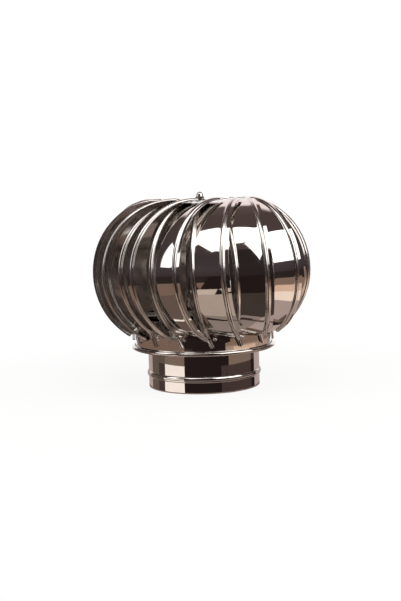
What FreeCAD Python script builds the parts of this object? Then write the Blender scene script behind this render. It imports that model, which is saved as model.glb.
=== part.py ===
"""Rotating chimney cowl: a bladed wind rotor that spins on a fixed spindle above a round flue spigot.

Millimetres, +Z up, origin at the centre of the spigot's lower edge.  The rotor stands at its rest angle.
"""
import FreeCAD, Part
import math
import os
import re

import Sketcher
from FreeCAD import Placement, Rotation, Vector

# Driving sizes.  Every other size below is a formula in these words.
SIZES = {
    # fixed spigot collar
    "spigot_radius": 75.0,
    "collar_sheet": 0.6,
    "collar_height": 80.0,
    "swage_level": 18.5,
    "swage_width": 8.0,
    "swage_rise": 2.0,
    # skirt ring of the rotor
    "ring_radius": 92.5,
    "ring_sheet": 0.6,
    "ring_top": 95.0,
    "ring_foot": 52.6,
    "curl_radius": 2.25,
    "curl_gap": 0.3,
    # rotor blades: strips bent to one arc, each in a plane that passes beside the axis
    "blade_count": 15,
    "blade_phase": 230.0,
    "blade_sheet": 0.5,
    "blade_width": 54.0,
    "blade_offset": 44.2,
    "blade_reach": 127.1,
    "blade_bend": 92.3,
    "blade_roll": 3.5,
    "blade_top_angle": 92.0,
    "foot_inset": 16.5,
    "foot_level": 73.2,
    "lip_width": 5.0,
    "rib_radius": 2.75,
    "inner_rib_top_angle": 71.0,
    "inner_rib_foot_angle": 57.0,
    "rib_end_angle": 0.3,
    # riveted tab at the lower inner corner of each blade
    "tab_bearing": 25.0,
    "tab_ring_gap": 0.1,
    "tab_height": 92.0,
    "tab_inner_top": 19.5,
    "tab_inner_foot": 6.5,
    "tab_foot": 63.0,
    "tab_outer": 20.0,
    "tab_outer_foot": 70.0,
    "tab_rivet_level": 73.5,
    "tab_rib_top": 16.3,
    "tab_rib_foot": 3.3,
    # top disc, and its rivets as far in from the end and the inner edge of a blade
    "disc_margin": 4.5,
    "disc_sheet": 1.2,
    "top_rivet_reach": 5.4,
    "top_rivet_offset": 5.4,
    "top_rivet_grip": 1.0,
    # rivets
    "rivet_radius": 1.6,
    "rivet_head_radius": 2.6,
    "rivet_head_rise": 1.1,
    "rivet_play": 0.05,
    "tail_gap": 0.06,
    "seat_gap": 0.05,
    # cross strap of the rotor and bracket of the collar
    "strap_level": 95.6,
    "strap_width": 30.0,
    "strap_sheet": 2.5,
    "strap_leg": 16.0,
    "bracket_level": 48.0,
    "bracket_width": 28.0,
    "bracket_sheet": 3.0,
    "bracket_leg": 24.0,
    "leg_rivet_bearing": 5.0,
    "leg_rivet_inset": 6.5,
    "leg_fit": 0.05,
    # spindle and its nuts
    "spindle_radius": 4.0,
    "stud_radius": 3.0,
    "stud_length": 13.0,
    "spindle_tail": 4.0,
    "shoulder_drop": 0.4,
    "end_chamfer": 0.6,
    "thread_play": 0.05,
    "nut_flats": 13.0,
    "nut_height": 6.5,
    "washer_radius": 8.0,
    "washer_sheet": 1.6,
    "top_collar_height": 4.0,
    "cap_flats": 10.0,
    "cap_height": 12.0,
    "cap_hex_height": 5.5,
    "cap_dome_radius": 4.6,
    "cap_bore_depth": 9.0,
    "cap_chamfer": 0.5,
    # ball bearings
    "bearing_radius": 11.0,
    "bearing_width": 7.0,
    "race_sheet": 1.7,
    "ball_count": 7,
    "ball_radius": 1.98,
    "ball_play": 0.06,
    "bore_play": 0.02,
    "cage_sheet": 1.2,
    "cage_height": 5.4,
    "cage_play": 0.12,
    # bearing housings
    "housing_sheet": 1.2,
    "housing_lip": 2.0,
    "flange_radius": 20.0,
    "flange_rivet_circle": 16.2,
    "flange_rivet_bearing": 45.0,
    "flange_rivet_count": 4,
    "carrier_hole_radius": 8.6,
}

doc = FreeCAD.newDocument("rotating_chimney_cowl")
sheet = doc.addObject("Spreadsheet::Sheet", "Size")
for row, (alias, number) in enumerate(SIZES.items(), start=1):
    sheet.set(f"A{row}", alias)
    sheet.set(f"B{row}", str(number))
    sheet.setAlias(f"B{row}", alias)
doc.recompute()

UP = Vector(0, 0, 1)
# Numbers of the places on a sketch curve
START, END, CENTRE = range(1, 4)
nodes = []


def formula(text):
    """A formula in plain size names, pointed at the cells of the sheet."""
    return re.sub(r"[a-z_]+", lambda word: f"Size.{word[0]}" if word[0] in SIZES else word[0], text)


def value(text):
    """The present value of a formula."""
    result = doc.Size.evalExpression(formula(text).replace("Size.", ""))
    return float(getattr(result, "Value", result))


def bind(part, sizes):
    """Tie properties of a document object to formulas."""
    for path, text in sizes.items():
        part.setExpression(path, formula(text))


def node(part, label):
    """Give a finished sub-part its name and list it for writing."""
    part.Label = label
    nodes.append(part)
    return part


def new_body(label):
    """An empty body for one sub-part; groups of like pieces may hold several solids."""
    body = doc.addObject("PartDesign::Body", label)
    body.AllowCompound = True
    return node(body, label)


def datum(body, role):
    """One of the body's own origin planes or axes."""
    return next(item for item in body.Origin.OriginFeatures if item.Role == role)


def new_sketch(body, role, turn=None, shift=None):
    """A sketch on an origin plane; turn is (axis, formula), shift maps x, y, z to formulas."""
    sketch = body.newObject("Sketcher::SketchObject", body.Name + "_sketch")
    sketch.AttachmentSupport = (datum(body, role), [""])
    sketch.MapMode = "FlatFace"
    if turn:
        axis, angle = turn
        sketch.AttachmentOffset = Placement(Vector(), Rotation(axis, value(angle)))
        bind(sketch, {"AttachmentOffset.Rotation.Angle": angle})
    for letter, text in (shift or {}).items():
        bind(sketch, {f"AttachmentOffset.Base.{letter}": text})
    return sketch


def side(start, end, radius):
    """A straight side, or an arc whose centre lies left of the way (radius above 0) or right of it."""
    if radius is None:
        return Part.LineSegment(start, end), START, END
    chord = end - start
    left = Vector(-chord.y, chord.x, 0).normalize()
    rise = math.sqrt(max(radius ** 2 - (chord.Length / 2) ** 2, 0))
    centre = (start + end) / 2 + left * math.copysign(rise, radius)
    first, last = (start, end) if radius > 0 else (end, start)
    first_angle = math.atan2(first.y - centre.y, first.x - centre.x)
    last_angle = math.atan2(last.y - centre.y, last.x - centre.x)
    if last_angle < first_angle:
        last_angle += 2 * math.pi
    arc = Part.ArcOfCircle(Part.Circle(centre, UP, abs(radius)), first_angle, last_angle)
    return (arc, START, END) if radius > 0 else (arc, END, START)


def hold(sketch, curve, end, x, y, place):
    """Keep one point of a curve at the distances x and y from the sketch's origin, the start of curve -1."""
    for kind, text, distance in (("DistanceX", x, place.x), ("DistanceY", y, place.y)):
        rule = sketch.addConstraint(Sketcher.Constraint(kind, -1, START, curve, end, distance))
        bind(sketch, {f"Constraints[{rule}]": text})


def draw(sketch, corners):
    """Add a closed outline; each corner is (x, y) or (x, y, radius of the side that leaves it)."""
    points = [Vector(value(corner[0]), value(corner[1]), 0) for corner in corners]
    sides = []
    for index, corner in enumerate(corners):
        radius = value(corner[2]) if len(corner) > 2 else None
        curve, head, tail = side(points[index], points[(index + 1) % len(points)], radius)
        sides.append((sketch.addGeometry(curve), head, tail))
    for index, corner in enumerate(corners):
        curve, head, tail = sides[index]
        after, after_head, after_tail = sides[(index + 1) % len(sides)]
        sketch.addConstraint(Sketcher.Constraint("Coincident", curve, tail, after, after_head))
        hold(sketch, curve, head, corner[0], corner[1], points[index])
        if len(corner) > 2:
            rule = sketch.addConstraint(Sketcher.Constraint("Radius", curve, abs(value(corner[2]))))
            bind(sketch, {f"Constraints[{rule}]": f"abs({corner[2]})"})
    return sketch


def circle(sketch, x, y, radius):
    """Add a circle by formulas for its centre and radius."""
    middle = Vector(value(x), value(y), 0)
    curve = sketch.addGeometry(Part.Circle(middle, UP, value(radius)))
    hold(sketch, curve, CENTRE, x, y, middle)
    rule = sketch.addConstraint(Sketcher.Constraint("Radius", curve, value(radius)))
    bind(sketch, {f"Constraints[{rule}]": radius})
    return sketch


def turned(body, sketch, axis="V_Axis", kind="PartDesign::Revolution", span=None):
    """Turn an outline about its own axis, all the way round or through span = (down, up) angles."""
    feature = body.newObject(kind, body.Name + "_turned")
    feature.Profile = sketch
    feature.ReferenceAxis = (sketch, [axis])
    if span:
        feature.Type = "TwoAngles"
        bind(feature, {"Angle": span[0], "Angle2": span[1]})
    else:
        feature.Angle = 360
    return feature


def pocket(body, sketch, depth=None):
    """Cut an outline straight back from its plane, to a depth or right through."""
    feature = body.newObject("PartDesign::Pocket", body.Name + "_pocket")
    feature.Profile = sketch
    if depth:
        bind(feature, {"Length": depth})
    else:
        feature.Type = "ThroughAll"
    return feature


def ring_of(body, originals, count):
    """Repeat features evenly about the rotor's axis."""
    feature = body.newObject("PartDesign::PolarPattern", body.Name + "_ring")
    feature.Originals = originals
    feature.Axis = (datum(body, "Z_Axis"), [""])
    feature.Angle = 360
    bind(feature, {"Occurrences": count})
    body.Tip = feature
    return feature


def turned_body(label, corners):
    """A body turned about the rotor's axis from one outline in radius and height."""
    body = new_body(label)
    turned(body, draw(new_sketch(body, "XZ_Plane"), corners))
    return body


def spin(part, angle):
    """Turn a finished sub-part about the rotor's axis."""
    part.Placement = Placement(Vector(), Rotation(UP, value(angle)))
    bind(part, {"Placement.Rotation.Angle": angle})


def primitive(kind, sizes):
    """A primitive solid whose sizes and place are formulas."""
    part = doc.addObject(kind, "form")
    bind(part, sizes)
    return part


def cut(base, tool):
    """One solid less another."""
    part = doc.addObject("Part::Cut", "cut")
    part.Base = base
    part.Tool = tool
    return part


def join(kind, parts):
    """Several solids fused, or what they share."""
    part = doc.addObject(kind, "joined")
    part.Shapes = parts
    return part


# Places and levels that follow from the driving sizes: each blade's foot lands on the skirt ring,
# and the top disc reaches just past the rivets at the blades' upper ends
foot_angle = "acos((ring_radius - foot_inset - blade_reach + blade_bend) / blade_bend)"
blade_level = f"(foot_level + blade_bend * sin({foot_angle}))"
top_rivet_x = "(blade_reach - blade_bend + blade_bend * cos(blade_top_angle) + top_rivet_reach)"
blade_edge = "(blade_offset - blade_width / 2 * cos(blade_roll) - blade_bend * sin(blade_roll))"
top_rivet_y = f"({blade_edge} + top_rivet_offset)"
disc_radius = f"(sqrt({top_rivet_x} ^ 2 + {top_rivet_y} ^ 2) + disc_margin)"
blade_sag = f"({disc_radius} - blade_reach + blade_bend) ^ 2 / (2 * blade_bend)"
blade_under = f"({blade_level} + blade_bend - blade_sheet - blade_width / 2 * sin(blade_roll) - {blade_sag})"
disc_top = f"({blade_under} - seat_gap)"
disc_under = f"({disc_top} - disc_sheet)"
cap_level = f"({disc_under} + top_collar_height)"
race_under = "(strap_level - bearing_width)"
bracket_top = "(bracket_level + bracket_sheet)"
collar_bore = "(spigot_radius - collar_sheet)"
ring_bore = "(ring_radius - ring_sheet)"
shank_bore = "(rivet_radius + rivet_play)"


def rivet_outline(sketch, under, over):
    """Half section of a set rivet along its own axis: domed head past over, formed tail short of under."""
    flat_head = f"({over} + rivet_head_rise)"
    flat_tail = f"({under} - rivet_head_rise)"
    draw(sketch, [
        (flat_tail, "0"),
        (flat_head, "0"),
        (flat_head, "rivet_head_radius / 2"),
        (over, "rivet_head_radius"),
        (over, "rivet_radius"),
        (under, "rivet_radius"),
        (under, "rivet_head_radius"),
        (flat_tail, "rivet_head_radius / 2"),
    ])
    return sketch


def wall_rivets(label, level, under, over, bearings, count):
    """Rivets set square through a round wall, repeated about the axis."""
    body = new_body(label)
    rivets = []
    for bearing in bearings:
        sketch = new_sketch(body, "XZ_Plane", shift={"y": level}, turn=(Vector(0, 1, 0), bearing))
        rivets.append(turned(body, rivet_outline(sketch, f"({under} - tail_gap)", over), "H_Axis"))
    ring_of(body, rivets, count)
    return body


def deck_rivets(label, x, y, under, over, count):
    """Upright rivets through flat plates, repeated about the axis."""
    body = new_body(label)
    sketch = new_sketch(body, "XZ_Plane", turn=(Vector(0, 0, 1), "90"), shift={"x": x, "z": f"-({y})"})
    ring_of(body, [turned(body, rivet_outline(sketch, under, over), "H_Axis")], count)
    return body


def wall_holes(body, level, bearings, count, radius=shank_bore):
    """Round holes through a round wall, repeated about the axis."""
    holes = []
    for bearing in bearings:
        sketch = new_sketch(body, "YZ_Plane", turn=(Vector(0, 1, 0), bearing))
        circle(sketch, "0", level, radius)
        hole = pocket(body, sketch)
        hole.Reversed = True
        holes.append(hole)
    ring_of(body, holes, count)


def deck_holes(body, x, y, count, turn=None):
    """Upright rivet holes, repeated about the axis."""
    sketch = circle(new_sketch(body, "XY_Plane", turn=turn), x, y, shank_bore)
    hole = pocket(body, sketch)
    hole.Midplane = True
    ring_of(body, [hole], count)


# Spigot collar: one rolled tube with a swaged bead, which pushes into the flue.
swage_arc = "(swage_width ^ 2 / 4 + swage_rise ^ 2) / (2 * swage_rise)"
collar = turned_body("base_collar", [
    ("spigot_radius", "0"),
    ("spigot_radius", "swage_level - swage_width / 2", swage_arc),
    ("spigot_radius", "swage_level + swage_width / 2"),
    ("spigot_radius", "collar_height"),
    (collar_bore, "collar_height"),
    (collar_bore, "swage_level + swage_width / 2", f"-({swage_arc})"),
    (collar_bore, "swage_level - swage_width / 2"),
    (collar_bore, "0"),
])
leg_bearings = ("leg_rivet_bearing", "-leg_rivet_bearing")
bracket_rivet_level = f"({bracket_top} + bracket_leg - leg_rivet_inset)"
wall_holes(collar, bracket_rivet_level, leg_bearings, "2")

# Skirt ring: the rolled band that carries the blades, its lower edge curled outwards.
curl_level = "(ring_foot + curl_radius)"
curl_middle = f"({ring_bore} + curl_radius)"
curl_inside = "(curl_radius - ring_sheet)"
curl_end = "acos((curl_radius - ring_sheet - curl_gap) / curl_radius)"
ring = turned_body("skirt_ring", [
    (ring_bore, "ring_top"),
    (ring_bore, curl_level, "curl_radius"),
    (curl_middle, "ring_foot", "curl_radius"),
    (f"{curl_middle} + curl_radius", curl_level, "curl_radius"),
    (curl_middle, f"{curl_level} + curl_radius", "curl_radius"),
    (f"{curl_middle} - curl_radius * cos({curl_end})", f"{curl_level} + curl_radius * sin({curl_end})"),
    (f"{curl_middle} - {curl_inside} * cos({curl_end})", f"{curl_level} + {curl_inside} * sin({curl_end})",
     f"-{curl_inside}"),
    (curl_middle, f"{curl_level} + {curl_inside}", f"-{curl_inside}"),
    (f"{curl_middle} + {curl_inside}", curl_level, f"-{curl_inside}"),
    (curl_middle, f"{curl_level} - {curl_inside}", f"-{curl_inside}"),
    ("ring_radius", curl_level),
    ("ring_radius", "ring_top"),
])
strap_rivet_level = "(strap_level - strap_leg + leg_rivet_inset)"
wall_holes(ring, strap_rivet_level, leg_bearings, "2")
wall_holes(ring, "tab_rivet_level", ("blade_phase + tab_bearing",), "blade_count")

# Blades: a strip with two pressed ribs, bent to an arc, its lower inner corner folded to a riveted tab.
half_width = "(blade_width / 2)"
rib_middle = f"({half_width} - lip_width - rib_radius)"
rib_core = "(rib_radius - blade_sheet)"
blade_inside = "(blade_bend - blade_sheet)"
bend_middle = {"x": "blade_reach - blade_bend", "y": "blade_offset", "z": blade_level}
roll = (Vector(1, 0, 0), "blade_roll")
tab_distance = "(ring_radius + tab_ring_gap)"
lead_blade = new_body("blade_01")
strip = draw(new_sketch(lead_blade, "XY_Plane", roll, bend_middle), [
    (blade_inside, f"-{half_width}"),
    ("blade_bend", f"-{half_width}"),
    ("blade_bend", f"{rib_middle} - rib_radius", "rib_radius"),
    ("blade_bend + rib_radius", rib_middle, "rib_radius"),
    ("blade_bend", f"{rib_middle} + rib_radius"),
    ("blade_bend", half_width),
    (blade_inside, half_width),
    (blade_inside, f"{rib_middle} + {rib_core}"),
    ("blade_bend", f"{rib_middle} + {rib_core}", f"-{rib_core}"),
    (f"blade_bend + {rib_core}", rib_middle, f"-{rib_core}"),
    ("blade_bend", f"{rib_middle} - {rib_core}"),
    (blade_inside, f"{rib_middle} - {rib_core}"),
])
turned(lead_blade, strip, span=(foot_angle, "blade_top_angle"))
inner_rib = draw(new_sketch(lead_blade, "XY_Plane", roll, bend_middle), [
    ("blade_bend - blade_sheet / 2", f"-{rib_middle} - rib_radius"),
    ("blade_bend", f"-{rib_middle} - rib_radius", "rib_radius"),
    ("blade_bend + rib_radius", f"-{rib_middle}", "rib_radius"),
    ("blade_bend", f"-{rib_middle} + rib_radius"),
    ("blade_bend - blade_sheet / 2", f"-{rib_middle} + rib_radius"),
])
turned(lead_blade, inner_rib, span=("inner_rib_foot_angle", "inner_rib_top_angle"))
inner_core = draw(new_sketch(lead_blade, "XY_Plane", roll, bend_middle), [
    ("blade_bend - 2 * blade_sheet", f"-{rib_middle} - {rib_core}"),
    ("blade_bend", f"-{rib_middle} - {rib_core}", rib_core),
    (f"blade_bend + {rib_core}", f"-{rib_middle}", rib_core),
    ("blade_bend", f"-{rib_middle} + {rib_core}"),
    ("blade_bend - 2 * blade_sheet", f"-{rib_middle} + {rib_core}"),
])
turned(lead_blade, inner_core, kind="PartDesign::Groove",
       span=("inner_rib_foot_angle - rib_end_angle", "inner_rib_top_angle - rib_end_angle"))
tab_plane = (Vector(0, 1, 0), "tab_bearing")
rib_tilt = "atan((tab_rib_top - tab_rib_foot) / (tab_height - tab_foot))"


def tab_rib(radius, kind):
    """A round bar along the rib's line on the tab, added or cut away, its axis on the tab's outer face."""
    rib_distance = f"({tab_distance} + blade_sheet)"
    rib_place = {"x": f"{rib_distance} * sin(tab_bearing)", "z": f"{rib_distance} * cos(tab_bearing)"}
    sketch = draw(new_sketch(lead_blade, "YZ_Plane", tab_plane, rib_place), [
        ("-tab_rib_top", "tab_height"),
        ("-tab_rib_foot", "tab_foot"),
        (f"{radius} * cos({rib_tilt}) - tab_rib_foot", f"{radius} * sin({rib_tilt}) + tab_foot"),
        (f"{radius} * cos({rib_tilt}) - tab_rib_top", f"{radius} * sin({rib_tilt}) + tab_height"),
    ])
    line = sketch.Geometry[0]
    axis = sketch.addGeometry(Part.LineSegment(line.StartPoint, line.EndPoint), True)
    for end in (START, END):
        sketch.addConstraint(Sketcher.Constraint("Coincident", axis, end, 0, end))
    turned(lead_blade, sketch, "Axis0", kind)


tab_rib("rib_radius", "PartDesign::Revolution")
fold = draw(new_sketch(lead_blade, "XY_Plane", (UP, "tab_bearing"), {"z": blade_level}), [
    ("0", "-blade_reach"),
    (tab_distance, "-blade_reach"),
    (tab_distance, "blade_reach"),
    ("0", "blade_reach"),
])
pocket(lead_blade, fold)
tab_place = {"x": f"{tab_distance} * sin(tab_bearing)", "z": f"{tab_distance} * cos(tab_bearing)"}
tab = draw(new_sketch(lead_blade, "YZ_Plane", tab_plane, tab_place), [
    ("-tab_inner_top", "tab_height"),
    ("-tab_inner_foot", "tab_foot"),
    ("tab_outer", "tab_outer_foot"),
    ("tab_outer", "tab_height"),
])
tab_plate = lead_blade.newObject("PartDesign::Pad", "tab_plate")
tab_plate.Profile = tab
bind(tab_plate, {"Length": "blade_sheet"})
tab_rib(rib_core, "PartDesign::Groove")
inside = draw(new_sketch(lead_blade, "XY_Plane", roll, bend_middle), [
    ("0", "-blade_width"),
    (blade_inside, "-blade_width"),
    (blade_inside, "blade_width"),
    ("0", "blade_width"),
])
turned(lead_blade, inside, kind="PartDesign::Groove", span=("90", "rib_end_angle"))
tab_eye = circle(new_sketch(lead_blade, "YZ_Plane", tab_plane, tab_place), "0", "tab_rivet_level", shank_bore)
tab_hole = pocket(lead_blade, tab_eye, "4 * blade_sheet")
tab_hole.Midplane = True
top_eye = new_sketch(lead_blade, "XY_Plane", shift={"z": f"{blade_level} + blade_bend + rib_radius"})
pocket(lead_blade, circle(top_eye, top_rivet_x, top_rivet_y, shank_bore))
spin(lead_blade, "blade_phase")
for index in range(1, int(sheet.blade_count)):
    blade = new_body(f"blade_{index + 1:02d}")
    copy = doc.addObject("PartDesign::FeatureBase", "copy")
    copy.BaseFeature = lead_blade
    blade.Group = [copy]
    blade.Tip = copy
    spin(blade, f"blade_phase + 360 * {index} / blade_count")

# Top disc: flat plate under the blades' upper ends.
disc = turned_body("top_disc", [
    ("carrier_hole_radius", disc_under),
    (disc_radius, disc_under),
    (disc_radius, disc_top),
    ("carrier_hole_radius", disc_top),
])
deck_holes(disc, top_rivet_x, top_rivet_y, "blade_count", (UP, "blade_phase"))
flange_x = "(flange_rivet_circle * cos(flange_rivet_bearing))"
flange_y = "(flange_rivet_circle * sin(flange_rivet_bearing))"
deck_holes(disc, flange_x, flange_y, "flange_rivet_count")

# Rivets of the blades, at the top disc and at the skirt ring.
top_grip = f"({disc_top} + blade_sheet + top_rivet_grip)"
top_rivets = deck_rivets("top_blade_rivets", top_rivet_x, top_rivet_y, disc_under, top_grip, "blade_count")
spin(top_rivets, "blade_phase")
ring_rivets = wall_rivets("ring_blade_rivets", "tab_rivet_level", ring_bore, f"{tab_distance} + blade_sheet",
                          ("0",), "blade_count")
spin(ring_rivets, "blade_phase + tab_bearing")


def bowed_bar(label, radius, level, width, thick, leg_foot, leg_length, drills, rivet_level):
    """A flat bar across a round wall, its two ends bent along the wall, with upright and leg holes."""
    at_level = {"Placement.Base.z": level}
    across = {
        "Length": f"2 * {radius}",
        "Width": width,
        "Placement.Base.x": f"-{radius}",
        "Placement.Base.y": f"-{width} / 2",
    }
    flat = join("Part::MultiCommon", [
        primitive("Part::Box", {**across, "Height": thick, **at_level}),
        primitive("Part::Cylinder", {"Radius": radius, "Height": thick, **at_level}),
    ])
    at_foot = {"Placement.Base.z": leg_foot}
    wall = cut(
        primitive("Part::Cylinder", {"Radius": radius, "Height": leg_length, **at_foot}),
        primitive("Part::Cylinder", {"Radius": f"{radius} - {thick}", "Height": leg_length, **at_foot}),
    )
    legs = join("Part::MultiCommon", [
        primitive("Part::Box", {**across, "Height": leg_length, **at_foot}),
        wall,
    ])
    for bearing in leg_bearings:
        drill = primitive("Part::Cylinder", {"Radius": shank_bore, "Height": f"2 * {radius}"})
        drill.Placement.Rotation = Rotation(value(bearing), 90, 0)
        bind(drill, {
            "Placement.Base.x": f"-{radius} * cos({bearing})",
            "Placement.Base.y": f"-{radius} * sin({bearing})",
            "Placement.Base.z": rivet_level,
        })
        drills.append(drill)
    bar = cut(join("Part::MultiFuse", [flat, legs]), join("Part::MultiFuse", drills))
    return node(bar, label)


def upright_drill(radius, level, thick, x="0", y="0"):
    """A cutter that goes right through a flat plate."""
    return primitive("Part::Cylinder", {
        "Radius": radius,
        "Height": f"3 * {thick}",
        "Placement.Base.x": x,
        "Placement.Base.y": y,
        "Placement.Base.z": f"{level} - {thick}",
    })


# Cross strap of the rotor: flat bar across the ring's top, legs bent down inside the ring.
strap_drills = [upright_drill("carrier_hole_radius", "strap_level", "strap_sheet")]
for index in range(int(sheet.flange_rivet_count)):
    bearing_angle = f"(flange_rivet_bearing + 360 * {index} / flange_rivet_count)"
    strap_drills.append(upright_drill(shank_bore, "strap_level", "strap_sheet",
                                      f"flange_rivet_circle * cos({bearing_angle})",
                                      f"flange_rivet_circle * sin({bearing_angle})"))
bowed_bar("cross_strap", f"({ring_bore} - leg_fit)", "strap_level", "strap_width", "strap_sheet",
          "(strap_level - strap_leg)", "(strap_leg + strap_sheet)", strap_drills, strap_rivet_level)
wall_rivets("strap_rivets", strap_rivet_level, f"{ring_bore} - leg_fit - strap_sheet", "ring_radius",
            leg_bearings, "2")

# Spindle bracket of the collar: flat bar across the tube, legs bent up along its wall.
bracket_drills = [upright_drill("(spindle_radius + bore_play)", "bracket_level", "bracket_sheet")]
bowed_bar("spindle_bracket", f"({collar_bore} - leg_fit)", "bracket_level", "bracket_width", "bracket_sheet",
          "bracket_level", "(bracket_leg + bracket_sheet)", bracket_drills, bracket_rivet_level)
wall_rivets("bracket_rivets", bracket_rivet_level, f"{collar_bore} - leg_fit - bracket_sheet",
            "spigot_radius", leg_bearings, "2")

# Spindle: a plain rod stepped down to a threaded stud, clamped to the bracket by two nuts.
spindle_foot = "(bracket_level - washer_sheet - nut_height - spindle_tail)"
shoulder = f"({disc_under} - shoulder_drop)"
stud_tip = f"({shoulder} + stud_length)"
turned_body("spindle", [
    ("0", spindle_foot),
    ("spindle_radius - end_chamfer", spindle_foot),
    ("spindle_radius", f"{spindle_foot} + end_chamfer"),
    ("spindle_radius", shoulder),
    ("stud_radius", shoulder),
    ("stud_radius", f"{stud_tip} - end_chamfer"),
    ("stud_radius - end_chamfer", stud_tip),
    ("0", stud_tip),
])


def sleeve(label, bore, radius, foot, top):
    """A plain tube or washer about the axis."""
    return turned_body(label, [(bore, foot), (radius, foot), (radius, top), (bore, top)])


def hex_nut(level):
    """A plain hexagon nut on the spindle."""
    at_level = {"Height": "nut_height", "Placement.Base.z": level}
    return cut(
        primitive("Part::Prism", {"Circumradius": "nut_flats / (2 * cos(30))", **at_level}),
        primitive("Part::Cylinder", {"Radius": "spindle_radius + thread_play", **at_level}),
    )


spindle_bore = "(spindle_radius + bore_play)"
lower_washer = "(bracket_level - washer_sheet)"
upper_washer = f"({bracket_top} + washer_sheet)"
sleeve("bracket_lower_washer", spindle_bore, "washer_radius", lower_washer, "bracket_level")
sleeve("bracket_upper_washer", spindle_bore, "washer_radius", bracket_top, upper_washer)
node(hex_nut(f"{lower_washer} - nut_height"), "bracket_lower_nut")
node(hex_nut(upper_washer), "bracket_upper_nut")
node(hex_nut(f"{race_under} - nut_height"), "bearing_seat_nut")

# Bearings: upper one under the top disc carries the rotor, lower one under the strap steadies it.
ball_circle = "((bearing_radius + spindle_radius) / 2)"
race_edge = "(spindle_radius + race_sheet)"
groove = "(ball_radius + ball_play)"
groove_half = f"sqrt({groove} ^ 2 - ({ball_circle} - {race_edge}) ^ 2)"


def bearing(place, top):
    """Housing, races, balls and cage of one bearing whose upper face is at top."""
    foot = f"({top} - bearing_width)"
    middle = f"({top} - bearing_width / 2)"
    lip = f"({foot} - housing_sheet)"
    flange_foot = f"({top} - housing_sheet)"
    housing_bore = "(bearing_radius + bore_play)"
    housing = turned_body(f"{place}_bearing_housing", [
        ("bearing_radius - housing_lip", lip),
        (f"{housing_bore} + housing_sheet", lip),
        (f"{housing_bore} + housing_sheet", flange_foot),
        ("flange_radius", flange_foot),
        ("flange_radius", top),
        (housing_bore, top),
        (housing_bore, foot),
        ("bearing_radius - housing_lip", foot),
    ])
    deck_holes(housing, flange_x, flange_y, "flange_rivet_count")
    outer_edge = "(bearing_radius - race_sheet)"
    turned_body(f"{place}_outer_race", [
        (outer_edge, foot),
        ("bearing_radius", foot),
        ("bearing_radius", top),
        (outer_edge, top),
        (outer_edge, f"{middle} + {groove_half}", f"-{groove}"),
        (outer_edge, f"{middle} - {groove_half}"),
    ])
    turned_body(f"{place}_inner_race", [
        (spindle_bore, foot),
        (race_edge, foot),
        (race_edge, f"{middle} - {groove_half}", f"-{groove}"),
        (race_edge, f"{middle} + {groove_half}"),
        (race_edge, top),
        (spindle_bore, top),
    ])
    balls = new_body(f"{place}_bearing_balls")
    ball = balls.newObject("PartDesign::AdditiveSphere", f"{place}_ball")
    ball.AttachmentSupport = (datum(balls, "XY_Plane"), [""])
    ball.MapMode = "FlatFace"
    bind(ball, {
        "Radius": "ball_radius",
        "AttachmentOffset.Base.x": ball_circle,
        "AttachmentOffset.Base.z": middle,
    })
    ring_of(balls, [ball], "ball_count")
    cage = sleeve(f"{place}_ball_cage", f"{ball_circle} - cage_sheet / 2", f"{ball_circle} + cage_sheet / 2",
                  f"{middle} - cage_height / 2", f"{middle} + cage_height / 2")
    wall_holes(cage, middle, ("0",), "ball_count", "(ball_radius + cage_play)")


bearing("upper", disc_under)
bearing("lower", "strap_level")
deck_rivets("upper_housing_rivets", flange_x, flange_y, f"({disc_under} - housing_sheet)", disc_top,
            "flange_rivet_count")
deck_rivets("lower_housing_rivets", flange_x, flange_y, "(strap_level - housing_sheet)",
            "(strap_level + strap_sheet)", "flange_rivet_count")
sleeve("race_spacer", spindle_bore, race_edge, "strap_level", f"{disc_under} - bearing_width")
sleeve("top_collar", "stud_radius + bore_play", race_edge, disc_under, cap_level)

# Cap nut: hexagon with a domed blind end, which clamps the race stack from above.
cap_top = f"({cap_level} + cap_height)"
hex_top = f"({cap_level} + cap_hex_height)"
cap_corner = "(cap_flats / (2 * cos(30)))"
cap = turned_body("cap_nut", [
    ("0", cap_level),
    ("cap_dome_radius", cap_level),
    ("cap_dome_radius", f"{cap_top} - cap_dome_radius", "cap_dome_radius"),
    ("0", cap_top),
])
cap_hex = cap.newObject("PartDesign::AdditivePrism", "cap_hex")
cap_hex.AttachmentSupport = (datum(cap, "XY_Plane"), [""])
cap_hex.MapMode = "FlatFace"
cap_hex.Polygon = 6
bind(cap_hex, {"Circumradius": cap_corner, "Height": "cap_hex_height", "AttachmentOffset.Base.z": cap_level})
for face, slope in ((hex_top, "-"), (cap_level, "+")):
    chamfer = draw(new_sketch(cap, "XZ_Plane"), [
        ("cap_flats / 2", face),
        (f"{cap_corner} + cap_chamfer", face),
        (f"{cap_corner} + cap_chamfer", f"{face} {slope} cap_chamfer"),
    ])
    turned(cap, chamfer, kind="PartDesign::Groove")
cap_eye = circle(new_sketch(cap, "XY_Plane", shift={"z": cap_level}), "0", "0", "stud_radius + thread_play")
cap_bore = pocket(cap, cap_eye, "cap_bore_depth")
cap_bore.Reversed = True

doc.recompute()
for part in doc.Objects:
    if "Invalid" in part.State or "Error" in part.State:
        raise RuntimeError(f"{part.Label} failed: {part.State}")
for part in nodes:
    if part.Shape.isNull() or not part.Shape.isValid() or not part.Shape.Solids:
        raise RuntimeError(f"{part.Label} has no valid solid")
os.makedirs("parts", exist_ok=True)
for part in nodes:
    part.Shape.exportStep(f"parts/{part.Label}.step")
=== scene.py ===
from math import asin, atan2, cos, degrees, hypot, pi, radians, sin

import bmesh
import bpy
from mathutils import Matrix, Vector


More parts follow.
